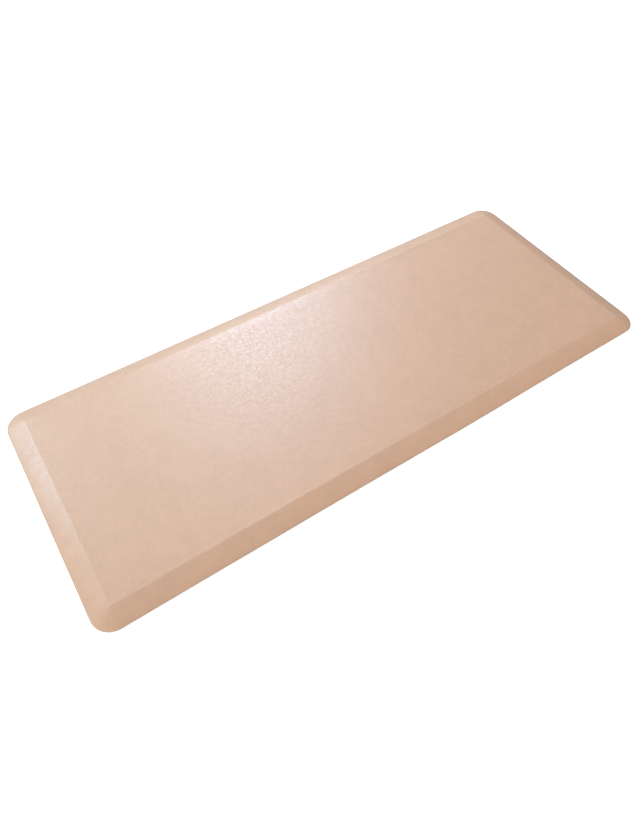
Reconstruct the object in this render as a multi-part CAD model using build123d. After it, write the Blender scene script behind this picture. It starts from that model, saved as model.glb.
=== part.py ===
"""Anti-fatigue standing mat, laid flat on the floor.

The mat is one moulded body of polyurethane in three layers that only a knife
could part: a dense top skin with bevelled edges, a resilient foam core and a
non-slip base skin with a honeycomb of shallow grip cells.

Frame: millimetres, origin on the floor under the middle of the mat, +X along
the mat's length, +Y across its width, +Z up.
"""

import math
import os

from build123d import *

INCH = 25.4

# Overall size
LENGTH = 60 * INCH
WIDTH = 24 * INCH
THICKNESS = 0.75 * INCH

# Bevelled rim, seen in section
BEVEL_RUN = 45.0  # plan distance from the outer edge to the crease
NOSE_HEIGHT = 5.5  # where the bevel's plane would meet the upright outer edge
NOSE_RADIUS = 5.5  # rounding between the outer edge and the bevel
CREASE_RADIUS = 7.0  # rounding between the bevel and the standing surface
FOOT_RADIUS = 1.0  # rounding where the outer edge meets the floor

# Rim in plan: each corner's axis stands just inside the crease, so the standing
# surface has nearly square corners and the bevels meet in quarter cones
CORNER_RADIUS = 46.5

# Layers
SKIN_THICKNESS = 1.2
BASE_THICKNESS = 2.0
LIP_WIDTH = 8.0  # how far the top skin wraps under the rim, up to the parting line

# Grip cells in the base skin: middle rows, and between them rows with one cell
# fewer, so that the mat's centre falls on the rib between two cells
CELL_PITCH = 2 * INCH
RIB_WIDTH = 6.0
CELL_DEPTH = 1.0
CELLS_PER_ROW = 28
MIDDLE_ROWS = 5

BEVEL_SLOPE = math.atan2(THICKNESS - NOSE_HEIGHT, BEVEL_RUN)


def mat_section(width, inset):
    """Whole section of a mat `width` wide, with its sides and top moved in by `inset`."""
    side = width / 2 - inset
    top = THICKNESS - inset
    nose = NOSE_HEIGHT + inset * (math.tan(BEVEL_SLOPE) - 1 / math.cos(BEVEL_SLOPE))
    crease = width / 2 - BEVEL_RUN - inset * math.tan(BEVEL_SLOPE / 2)
    right_half = [(side, 0), (side, nose), (crease, top)]
    left_half = [(-x, z) for x, z in reversed(right_half)]
    section = make_face(Polyline(*right_half, *left_half, close=True).edges())

    foot_radius = FOOT_RADIUS - inset
    section = fillet(section.vertices().group_by(Axis.Y)[2], CREASE_RADIUS - inset)
    section = fillet(section.vertices().group_by(Axis.Y)[1], NOSE_RADIUS - inset)
    if foot_radius > 0:
        section = fillet(section.vertices().group_by(Axis.Y)[0], foot_radius)
    return section


def mat_body(inset=0.0):
    """Solid mat: a bar each way, and a turned button at each corner."""
    straight_x = LENGTH - 2 * CORNER_RADIUS
    straight_y = WIDTH - 2 * CORNER_RADIUS
    along_x = extrude(Plane.YZ * mat_section(WIDTH, inset), straight_x / 2, both=True)
    along_y = extrude(Plane.XZ * mat_section(LENGTH, inset), straight_y / 2, both=True)
    right_of_axis = Rectangle(CORNER_RADIUS, 2 * THICKNESS, align=(Align.MIN, Align.CENTER))
    button_section = mat_section(2 * CORNER_RADIUS, inset) & right_of_axis
    button = revolve(Plane.XZ * button_section, Axis.Z)
    corners = [place * button for place in GridLocations(straight_x, straight_y, 2, 2)]
    return along_x + along_y + corners


def base_plate(margin):
    """Plate on the floor, as thick as the base skin, with the mat's outline moved in by `margin`."""
    outline = RectangleRounded(LENGTH - 2 * margin, WIDTH - 2 * margin, CORNER_RADIUS - margin)
    return extrude(outline, BASE_THICKNESS)


def grip_cells():
    """Outlines of the grip cells: hexagons in staggered rows."""
    row_step = CELL_PITCH * math.sqrt(3) / 2
    cell = RegularPolygon((CELL_PITCH - RIB_WIDTH) / math.sqrt(3), 6, rotation=30)
    middle_rows = GridLocations(CELL_PITCH, 2 * row_step, CELLS_PER_ROW, MIDDLE_ROWS)
    rows_between = GridLocations(CELL_PITCH, 2 * row_step, CELLS_PER_ROW - 1, MIDDLE_ROWS + 1)
    return [place * cell for place in [*middle_rows, *rows_between]]


def foam_core():
    """Resilient foam that fills the skins."""
    return mat_body(SKIN_THICKNESS) - base_plate(0)


def top_skin():
    """Dense skin over the standing surface, the bevels and the nose, with a lip under the rim."""
    return mat_body() - foam_core() - base_plate(LIP_WIDTH)


def base_skin():
    """Non-slip skin that lies on the floor, with its grip cells open downwards."""
    return base_plate(LIP_WIDTH) - extrude(Sketch() + grip_cells(), CELL_DEPTH)


os.makedirs("parts", exist_ok=True)
for make_node in (top_skin, foam_core, base_skin):
    export_step(make_node(), f"parts/{make_node.__name__}.step")
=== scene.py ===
"""Looks of the anti-fatigue mat: leather-grained skin, foam core and base skin with grip cells.

Everything is in metres in the mat's own frame: origin on the floor under the
middle of the mat, +X along its length, +Y across its width, +Z up.
"""
import math

import bpy
import numpy as np
from mathutils import Matrix, Vector, geometry, noise


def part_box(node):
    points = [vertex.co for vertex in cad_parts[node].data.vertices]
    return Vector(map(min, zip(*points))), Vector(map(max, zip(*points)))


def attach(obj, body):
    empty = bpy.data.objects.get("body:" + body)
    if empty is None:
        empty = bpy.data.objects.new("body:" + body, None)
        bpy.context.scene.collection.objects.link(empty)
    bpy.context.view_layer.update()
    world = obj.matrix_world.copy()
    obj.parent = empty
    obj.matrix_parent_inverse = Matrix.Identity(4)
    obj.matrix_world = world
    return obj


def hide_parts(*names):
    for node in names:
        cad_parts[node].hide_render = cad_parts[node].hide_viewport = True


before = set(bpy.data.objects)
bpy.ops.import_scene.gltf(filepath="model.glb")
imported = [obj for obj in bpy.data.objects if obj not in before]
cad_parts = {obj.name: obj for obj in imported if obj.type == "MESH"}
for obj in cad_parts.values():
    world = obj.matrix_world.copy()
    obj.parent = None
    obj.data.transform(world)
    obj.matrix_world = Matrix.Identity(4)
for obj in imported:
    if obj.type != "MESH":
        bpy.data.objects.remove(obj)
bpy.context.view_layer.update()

MM = 0.001

# ---------------------------------------------------------------- the mat's sizes
skin_low, skin_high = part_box("top_skin")
LENGTH = skin_high.x - skin_low.x
WIDTH = skin_high.y - skin_low.y
TOP = skin_high.z

BEVEL_RUN = 45.0 * MM  # plan distance from the outer edge to the crease
BEVEL_TOP_SLOPE = math.radians(14.5)  # the bevel is slightly crowned, so it steepens
BEVEL_FOOT_SLOPE = math.radians(22.0)
NOSE_RADIUS = 4.0 * MM
NOSE_AXIS = 1.4 * MM  # height of the nose's axis above the floor
CREASE_RADIUS = 7.0 * MM
FOOT_RADIUS = 1.0 * MM
CORNER_RADIUS = 46.5 * MM
SKIN = 1.2 * MM  # thickness of the top skin
BASE = 2.0 * MM  # thickness of the base skin
LIP = 8.0 * MM  # how far the top skin wraps under the rim

# The straight sides run between the corners' axes, which stand on this rectangle
HALF_X = LENGTH / 2 - CORNER_RADIUS
HALF_Y = WIDTH / 2 - CORNER_RADIUS
CREASE_X = LENGTH / 2 - BEVEL_RUN
CREASE_Y = WIDTH / 2 - BEVEL_RUN

# Grip cells of the base skin
CELL_PITCH = 50.8 * MM
RIB_WIDTH = 6.0 * MM
CELL_DEPTH = 1.0 * MM
CELLS_PER_ROW = 28
MIDDLE_ROWS = 5
CELL_WALL = [(0.3, 0.06), (0.7, 0.25), (1.1, 0.6), (1.5, 0.88), (2.1, 1.0)]  # mm inward, share of depth

# Relief that moulding and use leave in the skin
GAP = 0.05 * MM  # keeps the layers' hidden faces apart
SINK = 0.08 * MM  # how far the standing surface has shrunk below its creases
SINK_WIDTH = 7.0 * MM
SWELL = 0.22 * MM  # broad unevenness of the foam under the skin
SWELL_LENGTH = 170 * MM
PEBBLE = 0.045 * MM  # coarse grain of the skin
PEBBLE_LENGTH = 15 * MM
EDGE_WANDER = 0.6 * MM  # the outline is not quite straight
EDGE_WANDER_LENGTH = 330 * MM
BULGE = 1.9 * MM  # the near edge swells outward right of its middle
BULGE_X = 170 * MM
BULGE_REACH = 200 * MM

# Grain of the skin, from broad to fine
CLOUD_SIZE = 140 * MM
BLOTCH_SIZE = 35 * MM
MOTTLE_SIZE = 10 * MM
WRINKLE_SIZE = 6 * MM
PEBBLE_SIZE = 2.6 * MM
PORE_SIZE = 0.9 * MM
MOTTLE_HEIGHT = 0.38 * MM
PEBBLE_HEIGHT = 0.05 * MM
PORE_HEIGHT = 0.015 * MM

# Base colours
SKIN_COLOUR = (0.682, 0.400, 0.253)
# Painted shade: dark greyish brown laid on the rim's lowest few millimetres, where it meets the floor
FOOT_PAINTED_SHADE = (0.34, 0.27, 0.19, 1)
FOAM_DARK, FOAM_LIGHT, FOAM_WARM = (0.44, 0.31, 0.21, 1), (0.66, 0.50, 0.37, 1), (0.58, 0.45, 0.31, 1)
GRIP_DARK, GRIP_LIGHT = (0.50, 0.345, 0.240, 1), (0.55, 0.380, 0.268, 1)
GRIP_CELL, GRIP_NUB = (0.42, 0.28, 0.19, 1), (0.64, 0.46, 0.34, 1)

# Mesh density
STEP = 4.0 * MM
CREASE_STEPS = [0.0, 1.0, 2.2, 3.6, 5.4, 8.0]  # mm from the grid's edge
CORNER_STEPS = 14
SHOULDER_STEPS, BEVEL_STEPS, NOSE_STEPS, FOOT_STEPS = 4, 12, 7, 3
INSIDE_SKIP = 3  # the hidden inside of the skin takes every third station of the rim
CORE_COLUMNS, CORE_ROWS = 73, 27  # grid lines of the foam and of the base skin

# Surroundings
FLOOR_REACH = 40.0
PANEL_WIDTH, PANEL_HEIGHT = 1.0, 0.9
LIGHT_DISTANCE = 2.6  # from the mat's middle
ROOM_LIGHT_SPREAD = math.radians(20)


# ---------------------------------------------------------------- mesh building
def edge_stations(half):
    """Grid lines from -half to half: fine beside the creases, STEP apart elsewhere."""
    fine = np.array(CREASE_STEPS) * MM
    middle_half = half - fine[-1]
    count = round(2 * middle_half / STEP)
    middle = np.linspace(-middle_half, middle_half, count + 1)
    return np.concatenate([-half + fine[:-1], middle, half - fine[-2::-1]])


class Perimeter:
    """Places round the mat: an anchor on the corner-axis rectangle and an outward direction."""

    def __init__(self, xs, ys):
        self.xs, self.ys = xs, ys
        nx, ny = len(xs), len(ys)
        anchors, outward, grid = [], [], []
        sides = [
            ([(i, 0) for i in range(nx)], -90),
            ([(nx - 1, j) for j in range(ny)], 0),
            ([(i, ny - 1) for i in reversed(range(nx))], 90),
            ([(0, j) for j in reversed(range(ny))], 180),
        ]
        for cells, facing in sides:
            turns = [(cell, facing) for cell in cells]
            corner = cells[-1]
            quarter = 90 / CORNER_STEPS
            turns += [(corner, facing + quarter * k) for k in range(1, CORNER_STEPS)]
            for (i, j), degrees in turns:
                anchors.append((xs[i], ys[j]))
                outward.append((math.cos(math.radians(degrees)), math.sin(math.radians(degrees))))
                grid.append(j * nx + i)
        self.anchors = np.array(anchors)
        self.outward = np.array(outward)
        self.grid = np.array(grid)
        self.count = len(grid)

    def ring(self, radius, height):
        plan = self.anchors + self.outward * radius
        return np.column_stack([plan, np.full(self.count, height)])

    def cap(self, height):
        """Points and faces of the flat grid inside the corner axes."""
        nx, ny = len(self.xs), len(self.ys)
        x, y = np.meshgrid(self.xs, self.ys)
        points = np.column_stack([x.ravel(), y.ravel(), np.full(nx * ny, height)])
        i, j = np.meshgrid(np.arange(nx - 1), np.arange(ny - 1))
        first = (j * nx + i).ravel()
        faces = np.column_stack([first, first + 1, first + 1 + nx, first + nx])
        return points, faces.tolist()


def band(upper, lower):
    """Faces between two closed rings, given as arrays of point numbers in step."""
    faces = []
    for a, b, c, d in zip(upper, np.roll(upper, -1), np.roll(lower, -1), lower):
        corners = [int(d), int(c), int(b), int(a)]
        faces.append(corners if a != b else [int(d), int(c), int(a)])
    return faces


def arc(centre, radius, start, end, steps):
    """Stations (plan radius, height, facing angle) along a quarter or less of a circle."""
    angles = np.linspace(start, end, steps + 1)
    return [(centre[0] + radius * math.cos(a), centre[1] + radius * math.sin(a), a) for a in angles]


def rim_section(inset=0.0):
    """The rim from the crease to the upright edge, as three arcs that run into each other."""
    top_facing = math.pi / 2 - BEVEL_TOP_SLOPE
    foot_facing = math.pi / 2 - BEVEL_FOOT_SLOPE
    bevel_top = TOP - CREASE_RADIUS * (1 - math.sin(top_facing))
    bevel_foot = NOSE_AXIS + NOSE_RADIUS * math.sin(foot_facing)
    bevel_radius = (bevel_top - bevel_foot) / (math.sin(top_facing) - math.sin(foot_facing))

    nose_centre = np.array([CORNER_RADIUS - NOSE_RADIUS, NOSE_AXIS])
    foot_way = np.array([math.cos(foot_facing), math.sin(foot_facing)])
    top_way = np.array([math.cos(top_facing), math.sin(top_facing)])
    bevel_centre = nose_centre - (bevel_radius - NOSE_RADIUS) * foot_way
    crease_centre = bevel_centre + (bevel_radius - CREASE_RADIUS) * top_way

    shoulder = arc(crease_centre, CREASE_RADIUS - inset, math.pi / 2, top_facing, SHOULDER_STEPS)
    bevel = arc(bevel_centre, bevel_radius - inset, top_facing, foot_facing, BEVEL_STEPS)
    nose = arc(nose_centre, NOSE_RADIUS - inset, foot_facing, 0, NOSE_STEPS)
    return shoulder + bevel[1:-1] + nose


def make_object(name, points, faces, smooth=True):
    mesh = bpy.data.meshes.new(name)
    mesh.from_pydata(np.asarray(points).tolist(), [], faces)
    mesh.validate()
    mesh.polygons.foreach_set("use_smooth", [smooth] * len(mesh.polygons))
    mesh.update()
    piece = bpy.data.objects.new(name, mesh)
    bpy.context.scene.collection.objects.link(piece)
    return piece


def fractal(point, size, seed, octaves=3):
    """Smooth repeatable noise, about -1 to 1, with features of about the given size."""
    place = Vector(point) / size + Vector((seed, 2 * seed, 3 * seed))
    return noise.fractal(place, 0.9, 2.1, octaves)


def relief(points, normals, strength):
    """Moves points along their normals by the skin's swell and coarse grain."""
    moved = []
    for point, normal, share in zip(points, normals, strength):
        height = SWELL * fractal(point, SWELL_LENGTH, 3.7, 2)
        height += PEBBLE * fractal(point, PEBBLE_LENGTH, 8.2)
        moved.append(point + normal * height * share)
    return np.array(moved)


def wander(points):
    """Bends the outline in and out a little, and fades to nothing a hand's width inside it."""
    fade_width = 110 * MM
    moved = points.copy()
    for index, (x, y, z) in enumerate(points):
        beyond_x = max(0.0, 1 - (LENGTH / 2 - abs(x)) / fade_width)
        beyond_y = max(0.0, 1 - (WIDTH / 2 - abs(y)) / fade_width)
        along_x = fractal((x, 0.0, math.copysign(1.0, y)), EDGE_WANDER_LENGTH, 5.1, 2)
        along_y = fractal((0.0, y, math.copysign(1.0, x)), EDGE_WANDER_LENGTH, 6.3, 2)
        moved[index, 0] += math.copysign(EDGE_WANDER * beyond_x * along_y, x)
        moved[index, 1] += math.copysign(EDGE_WANDER * beyond_y * along_x, y)
        if y < 0:
            moved[index, 1] -= BULGE * beyond_y * math.exp(-((x - BULGE_X) / BULGE_REACH) ** 2)
    return moved


def grain_share(height):
    """Full grain on the bevel, fading to none where the skin meets the floor."""
    return min(1.0, max(0.0, (height - 2 * MM) / (4 * MM)))


def build_top_skin():
    """Closed shell: the grained outside, the lip under the rim and the hidden inside."""
    perimeter = Perimeter(edge_stations(HALF_X), edge_stations(HALF_Y))
    points, faces = perimeter.cap(TOP)
    inner = np.minimum(HALF_X - np.abs(points[:, 0]), HALF_Y - np.abs(points[:, 1]))
    ease = np.clip(inner / SINK_WIDTH, 0, 1)
    points[:, 2] -= SINK * ease * ease * (3 - 2 * ease)
    normals = np.tile([0.0, 0.0, 1.0], (len(points), 1))
    strength = np.ones(len(points))

    outside = rim_section()
    foot_centre = (CORNER_RADIUS - FOOT_RADIUS, FOOT_RADIUS)
    outside += arc(foot_centre, FOOT_RADIUS, 0, -math.pi / 2, FOOT_STEPS)
    outside += [(CORNER_RADIUS - LIP, 0.0, -math.pi / 2)]
    inside = [(CORNER_RADIUS - LIP, BASE, math.pi / 2)]
    inside += [s for s in reversed(rim_section(SKIN)[::INSIDE_SKIP]) if s[1] > BASE + GAP]
    rings = [(*station, grain_share(station[1])) for station in outside]
    rings += [(*station, 0.0) for station in inside]

    previous = perimeter.grid
    for radius, height, facing, share in rings:
        out = perimeter.outward * math.cos(facing)
        ring_normals = np.column_stack([out, np.full(perimeter.count, math.sin(facing))])
        numbers = np.arange(perimeter.count) + len(points)
        faces += band(previous, numbers)
        points = np.vstack([points, perimeter.ring(radius, height)])
        normals = np.vstack([normals, ring_normals])
        strength = np.concatenate([strength, np.full(perimeter.count, share)])
        previous = numbers
    faces.append([int(number) for number in previous])
    return make_object("skin_cover", wander(relief(points, normals, strength)), faces)


def core_perimeter():
    return Perimeter(np.linspace(-HALF_X, HALF_X, CORE_COLUMNS), np.linspace(-HALF_Y, HALF_Y, CORE_ROWS))


def build_foam_core():
    """Closed pad of foam that fills the skin, with the uneven top of risen foam."""
    perimeter = core_perimeter()
    section = [s for s in rim_section(SKIN + GAP) if s[1] > BASE + 2 * GAP]
    section.append((section[-1][0], BASE + GAP, 0.0))
    points, faces = perimeter.cap(TOP - SKIN - GAP)
    dip = np.array([abs(fractal(p, SWELL_LENGTH / 2, 4.4, 2)) for p in points])
    points[:, 2] -= SINK + SWELL * (0.6 + dip)
    previous = perimeter.grid
    for radius, height, _ in section:
        numbers = np.arange(perimeter.count) + len(points)
        faces += band(previous, numbers)
        points = np.vstack([points, perimeter.ring(radius, height)])
        previous = numbers
    faces.append([int(number) for number in previous])
    return make_object("foam_pad", points, faces)


def cell_centres():
    """Staggered rows of grip cells, every other row one cell shorter."""
    row_step = CELL_PITCH * math.sqrt(3) / 2
    for row in range(-MIDDLE_ROWS, MIDDLE_ROWS + 1):
        count = CELLS_PER_ROW - abs(row) % 2
        for column in range(count):
            yield (column - (count - 1) / 2) * CELL_PITCH, row * row_step


def hexagon(centre, across_flats):
    """Corners of a cell, from the distance across its flats."""
    reach = across_flats / math.sqrt(3)
    turns = [math.radians(30 + 60 * k) for k in range(6)]
    return [(centre[0] + reach * math.cos(a), centre[1] + reach * math.sin(a)) for a in turns]


def build_base_skin():
    """Closed plate with rounded, drafted grip cells open to the floor."""
    perimeter = core_perimeter()
    radius = CORNER_RADIUS - LIP - GAP
    outline = perimeter.ring(radius, 0.0)
    plan = [Vector(p[:2]) for p in outline]
    loops = [list(range(len(plan)))]
    mouth = CELL_PITCH - RIB_WIDTH
    for centre in cell_centres():
        loops.append(list(range(len(plan), len(plan) + 6)))
        plan += [Vector(p) for p in hexagon(centre, mouth)]
    edges = [(loop[k], loop[(k + 1) % len(loop)]) for loop in loops for k in range(len(loop))]
    only_inside, merge_within = 1, 1e-7
    made = geometry.delaunay_2d_cdt(plan, edges, [], only_inside, merge_within)
    points = [(p.x, p.y, 0.0) for p in made[0]]
    source = {old: new for new, olds in enumerate(made[3]) for old in olds}
    cell_of = {source[n]: k for k, loop in enumerate(loops) for n in loop if k > 0}
    faces = []
    # A triangle whose corners all stand on one cell's mouth is left out, because the cell is open
    for face in made[2]:
        cells = {cell_of.get(n, -n) for n in face}
        in_a_cell = len(cells) == 1 and min(cells) > 0
        if not in_a_cell:
            faces.append(list(face)[::-1])

    for centre, loop in zip(cell_centres(), loops[1:]):
        previous = [source[n] for n in loop]
        for inward, depth in CELL_WALL:
            numbers = list(range(len(points), len(points) + 6))
            ring = hexagon(centre, mouth - 2 * inward * MM)
            points += [(x, y, depth * CELL_DEPTH) for x, y in ring]
            for k in range(6):
                n = (k + 1) % 6
                faces.append([previous[k], numbers[k], numbers[n], previous[n]])
            previous = numbers
        faces.append(previous[::-1])

    rim = [source[n] for n in loops[0]]
    above = list(range(len(points), len(points) + len(rim)))
    points += [(x, y, BASE - GAP) for x, y, _ in outline]
    for k in range(len(rim)):
        n = (k + 1) % len(rim)
        faces.append([rim[k], rim[n], above[n], above[k]])
    faces.append(above)
    return make_object("base_grip", points, faces, smooth=False)


# ---------------------------------------------------------------- materials
class Nodes:
    """Short way to build a material's node tree."""

    def __init__(self, name):
        self.material = bpy.data.materials.new(name)
        self.material.use_nodes = True
        self.tree = self.material.node_tree
        self.shader = self.tree.nodes["Principled BSDF"]
        self.place = self.add("ShaderNodeTexCoord").outputs["Object"]

    def add(self, kind, settings=(), **inputs):
        node = self.tree.nodes.new(kind)
        for key, value in dict(settings).items():
            setattr(node, key, value)
        for key, value in inputs.items():
            self.feed(node.inputs[key.replace("_", " ")], value)
        return node

    def feed(self, socket, value):
        if isinstance(value, bpy.types.NodeSocket):
            self.tree.links.new(value, socket)
        else:
            socket.default_value = value

    def math(self, operation, first, second=0.0):
        node = self.add("ShaderNodeMath", {"operation": operation})
        self.feed(node.inputs[0], first)
        self.feed(node.inputs[1], second)
        return node.outputs[0]

    def noise(self, size, detail=3.0, roughness=0.5, distortion=0.0):
        """Noise from 0 to 1 with features of about the given size in metres."""
        node = self.add("ShaderNodeTexNoise", Vector=self.place, Scale=1 / size, Detail=detail,
                        Roughness=roughness, Distortion=distortion)
        return node.outputs["Fac"]

    def span(self, value, from_low, from_high, to_low=0.0, to_high=1.0):
        """Smooth step from to_low to to_high as the value goes from from_low to from_high."""
        node = self.add("ShaderNodeMapRange", {"interpolation_type": "SMOOTHSTEP"}, Value=value)
        limits = {"From Min": from_low, "From Max": from_high, "To Min": to_low, "To Max": to_high}
        for key, limit in limits.items():
            node.inputs[key].default_value = limit
        return node.outputs["Result"]

    def mix(self, share, first, second):
        """The first colour, with the given share of the second over it."""
        node = self.add("ShaderNodeMix", {"data_type": "RGBA"})
        self.feed(node.inputs[0], share)
        self.feed(node.inputs[6], first)
        self.feed(node.inputs[7], second)
        return node.outputs[2]

    def cells(self, size, place=None, feature="DISTANCE_TO_EDGE"):
        """Distance to the edge of cells of about the given size, as a share of that size."""
        settings = {"feature": feature}
        node = self.add("ShaderNodeTexVoronoi", settings, Vector=place or self.place, Scale=1 / size)
        return node.outputs["Distance"]

    def warped(self, size, amount):
        """The object's coordinates pushed about by noise, so that cells lose their straight sides."""
        push = self.add("ShaderNodeTexNoise", Vector=self.place, Scale=1 / size, Detail=2.0)
        centred = self.add("ShaderNodeVectorMath", {"operation": "SUBTRACT"})
        self.feed(centred.inputs[0], push.outputs["Color"])
        centred.inputs[1].default_value = (0.5, 0.5, 0.5)
        scaled = self.add("ShaderNodeVectorMath", {"operation": "SCALE"})
        self.feed(scaled.inputs[0], centred.outputs[0])
        scaled.inputs["Scale"].default_value = amount
        total = self.add("ShaderNodeVectorMath", {"operation": "ADD"})
        self.feed(total.inputs[0], self.place)
        self.feed(total.inputs[1], scaled.outputs[0])
        return total.outputs[0]

    def bump(self, height, distance, strength=1.0, under=None):
        node = self.add("ShaderNodeBump", Height=height, Distance=distance, Strength=strength)
        if under is not None:
            self.feed(node.inputs["Normal"], under)
        return node.outputs["Normal"]

    def finish(self, colour, roughness, normal, **fixed):
        self.feed(self.shader.inputs["Base Color"], colour)
        self.feed(self.shader.inputs["Roughness"], roughness)
        self.feed(self.shader.inputs["Normal"], normal)
        for key, value in fixed.items():
            self.shader.inputs[key.replace("_", " ")].default_value = value
        return self.material


def tan(lightness):
    """The skin's colour, made lighter or darker."""
    return (*(share * lightness for share in SKIN_COLOUR), 1.0)


def crease_distance(nodes):
    """Distance in plan from the crease line round the standing surface, negative inside it."""
    parts = nodes.add("ShaderNodeSeparateXYZ", Vector=nodes.place)
    beyond_x = nodes.math("SUBTRACT", nodes.math("ABSOLUTE", parts.outputs["X"]), CREASE_X)
    beyond_y = nodes.math("SUBTRACT", nodes.math("ABSOLUTE", parts.outputs["Y"]), CREASE_Y)
    return nodes.math("MAXIMUM", beyond_x, beyond_y), parts.outputs["Z"]


def leather_material():
    """Tan moulded polyurethane skin with a soft leather grain."""
    nodes = Nodes("leather_skin")
    distance, height = crease_distance(nodes)
    clouds = nodes.span(nodes.noise(CLOUD_SIZE, 4.0, 0.55), 0.3, 0.7)
    blotches = nodes.noise(BLOTCH_SIZE, 5.0, 0.9)
    mottle = nodes.noise(MOTTLE_SIZE, 5.0, 0.72, 0.3)
    wrinkle_place = nodes.warped(WRINKLE_SIZE, 2.2 * MM)
    pebbles = nodes.span(nodes.cells(PEBBLE_SIZE, wrinkle_place), 0.0, 0.22)
    pores = nodes.noise(PORE_SIZE, 2.0)

    colour = nodes.mix(clouds, tan(0.95), tan(0.98))
    colour = nodes.mix(nodes.span(blotches, 0.3, 0.7, 0.0, 0.5), colour, tan(1.13))
    valleys = nodes.span(pebbles, 0.0, 1.0, 0.22, 0.0)
    colour = nodes.mix(valleys, colour, tan(0.86))
    # Painted highlight and wear: a thin lighter line along the creases, partly rubbed wear and partly
    # the light that the rounded crease catches, broken up by noise
    off_the_crease = nodes.span(nodes.math("ABSOLUTE", distance), 0.3 * MM, 2.6 * MM)
    wear_and_highlight_breakup = nodes.span(nodes.noise(60 * MM, 3.0), 0.25, 0.7, 0.1, 0.6)
    crease_wear_and_highlight = nodes.math("MULTIPLY", nodes.math("SUBTRACT", 1.0, off_the_crease), wear_and_highlight_breakup)
    colour = nodes.mix(crease_wear_and_highlight, colour, tan(1.06))
    # Painted shade: below 5 mm the skin darkens towards a greyer brown, most of all below 1 mm, in place
    # of the shade where the rim meets the floor
    painted_floor_shade = nodes.span(height, 1.0 * MM, 5.0 * MM, 0.8, 0.0)
    colour = nodes.mix(painted_floor_shade, colour, FOOT_PAINTED_SHADE)

    roughness = nodes.span(mottle, 0.38, 0.62, 0.42, 0.29)
    roughness = nodes.math("ADD", roughness, nodes.span(pebbles, 0.0, 1.0, 0.06, 0.0))
    roughness = nodes.math("SUBTRACT", roughness, nodes.math("MULTIPLY", crease_wear_and_highlight, 0.04))
    # A strip just inside the creases is smoother
    smooth_border = nodes.span(distance, -30 * MM, -6 * MM, 0.0, 0.06)
    inside = nodes.span(distance, -2 * MM, 0.0, 1.0, 0.0)
    roughness = nodes.math("SUBTRACT", roughness, nodes.math("MULTIPLY", smooth_border, inside))

    relief_soft = nodes.bump(mottle, MOTTLE_HEIGHT)
    relief_pebbles = nodes.bump(pebbles, PEBBLE_HEIGHT, 0.7, relief_soft)
    relief_pores = nodes.bump(pores, PORE_HEIGHT, 0.4, relief_pebbles)
    return nodes.finish(colour, roughness, relief_pores, IOR=1.5)


def foam_material():
    """Pale open-celled foam."""
    nodes = Nodes("core_foam")
    bubbles = nodes.cells(1.3 * MM, nodes.warped(3 * MM, 0.8 * MM))
    clouds = nodes.noise(60 * MM, 3.0)
    colour = nodes.mix(nodes.span(bubbles, 0.02, 0.3), FOAM_DARK, FOAM_LIGHT)
    colour = nodes.mix(nodes.span(clouds, 0.3, 0.7, 0.0, 0.35), colour, FOAM_WARM)
    rough = nodes.span(bubbles, 0.0, 0.3, 0.98, 0.88)
    return nodes.finish(colour, rough, nodes.bump(bubbles, 0.4 * MM, 0.8))


def grip_material():
    """Matt skin of the underside: the top's tan, a shade darker, with a fine non-slip texture."""
    nodes = Nodes("grip_skin")
    height = nodes.add("ShaderNodeSeparateXYZ", Vector=nodes.place).outputs["Z"]
    clouds = nodes.noise(90 * MM, 4.0)
    nubs = nodes.cells(1.8 * MM, feature="F1")
    colour = nodes.mix(nodes.span(clouds, 0.3, 0.7), GRIP_DARK, GRIP_LIGHT)
    in_the_cell = nodes.span(height, 0.1 * MM, 0.9 * MM, 0.0, 0.35)
    colour = nodes.mix(in_the_cell, colour, GRIP_CELL)
    colour = nodes.mix(nodes.span(nubs, 0.1, 0.6, 0.18, 0.0), colour, GRIP_NUB)
    rough = nodes.span(clouds, 0.3, 0.7, 0.86, 0.74)
    lumps = nodes.span(nubs, 0.1, 0.6, 1.0, 0.0)
    return nodes.finish(colour, rough, nodes.bump(lumps, 0.12 * MM, 0.7))


# ---------------------------------------------------------------- the mat
def add_piece(piece, node, material):
    piece.data.materials.append(material)
    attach(piece, "root")
    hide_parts(node)
    return piece


skin_cover = add_piece(build_top_skin(), "top_skin", leather_material())
foam_pad = add_piece(build_foam_core(), "foam_core", foam_material())
add_piece(build_base_skin(), "base_skin", grip_material())


# ---------------------------------------------------------------- surroundings
def build_floor():
    """Pale floor that glows a little, so that the mat's soft shadow stays near white."""
    reach = FLOOR_REACH
    corners = [(-reach, -reach, 0), (reach, -reach, 0), (reach, reach, 0), (-reach, reach, 0)]
    floor = make_object("floor", corners, [[0, 1, 2, 3]], smooth=False)
    material = bpy.data.materials.new("pale_floor")
    material.use_nodes = True
    shader = material.node_tree.nodes["Principled BSDF"]
    shader.inputs["Base Color"].default_value = (0.95, 0.95, 0.95, 1)
    shader.inputs["Roughness"].default_value = 0.9
    shader.inputs["Specular IOR Level"].default_value = 0.2
    shader.inputs["Emission Color"].default_value = (1, 1, 1, 1)
    shader.inputs["Emission Strength"].default_value = 0.45
    floor.data.materials.append(material)
    floor.visible_glossy = False


def direction(azimuth, elevation):
    """Unit vector. Azimuth 0 is behind the mat, on +Y, and grows towards +X."""
    turn, lift = math.radians(azimuth), math.radians(elevation)
    return Vector((math.sin(turn) * math.cos(lift), math.cos(turn) * math.cos(lift), math.sin(lift)))


def aim(light_data, towards, distance):
    light = bpy.data.objects.new(light_data.name, light_data)
    light.location = towards * distance
    light.rotation_euler = towards.to_track_quat("Z", "Y").to_euler()
    bpy.context.scene.collection.objects.link(light)


def soft_panel(name, azimuth, elevation, power, colour):
    """Softbox that stands beside the mat."""
    data = bpy.data.lights.new(name, "AREA")
    data.shape = "RECTANGLE"
    data.size = PANEL_WIDTH
    data.size_y = PANEL_HEIGHT
    data.energy = power
    data.color = colour
    aim(data, direction(azimuth, elevation), LIGHT_DISTANCE)


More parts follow.
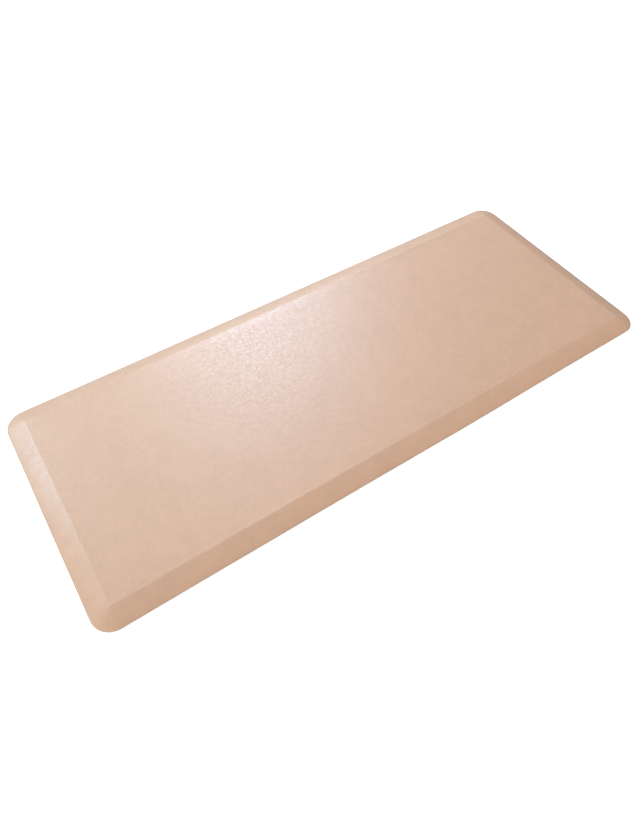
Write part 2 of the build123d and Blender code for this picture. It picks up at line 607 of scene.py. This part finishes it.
def room_light(name, azimuth, elevation, strength):
    """Broad far-off light that falls evenly on the mat and the floor."""
    data = bpy.data.lights.new(name, "SUN")
    data.angle = ROOM_LIGHT_SPREAD
    data.energy = strength
    aim(data, direction(azimuth, elevation), LIGHT_DISTANCE)


def build_camera():
    """Looks down on the mat from its near left, from standing height."""
    azimuth = math.radians(-33.85)
    elevation = math.radians(53.80)
    roll = math.radians(0.71)
    distance = 1.588
    aside = Vector((-0.0514, -0.1046, 0))  # shift from the mat's middle, across and up the view
    data = bpy.data.cameras.new("camera")
    data.sensor_width = 36.0
    data.lens = 27.43
    camera = bpy.data.objects.new("camera", data)
    turned = Matrix.Rotation(azimuth, 4, "Z") @ Matrix.Rotation(math.pi / 2 - elevation, 4, "X")
    rolled = turned @ Matrix.Rotation(roll, 4, "Z")
    place = rolled @ aside + turned @ Vector((0, 0, distance))
    camera.matrix_world = Matrix.Translation(place) @ rolled
    bpy.context.scene.collection.objects.link(camera)
    bpy.context.scene.camera = camera


def build_world():
    """White surroundings that light the mat less brightly than they look."""
    world = bpy.data.worlds.new("white_room")
    world.use_nodes = True
    nodes = world.node_tree.nodes
    brightness = nodes.new("ShaderNodeMapRange")
    brightness.inputs["To Min"].default_value = 0.2
    brightness.inputs["To Max"].default_value = 1.0
    seen = nodes.new("ShaderNodeLightPath").outputs["Is Camera Ray"]
    world.node_tree.links.new(seen, brightness.inputs["Value"])
    nodes["Background"].inputs["Color"].default_value = (1, 1, 1, 1)
    world.node_tree.links.new(brightness.outputs["Result"], nodes["Background"].inputs["Strength"])
    bpy.context.scene.world = world


build_floor()
build_world()
build_camera()
soft_panel("window_panel", 20, 42, 37.1, (0.45, 0.68, 1.0))
soft_panel("left_panel", -45, 35, 33.7, (0.45, 0.76, 1.0))
room_light("high_back_light", 20, 55, 0.345)
room_light("low_back_light", 20, 30, 0.74)
room_light("front_light", -150, 30, 1.50)
room_light("left_light", -90, 30, 0.565)
bpy.context.scene.view_settings.view_transform = "Standard"
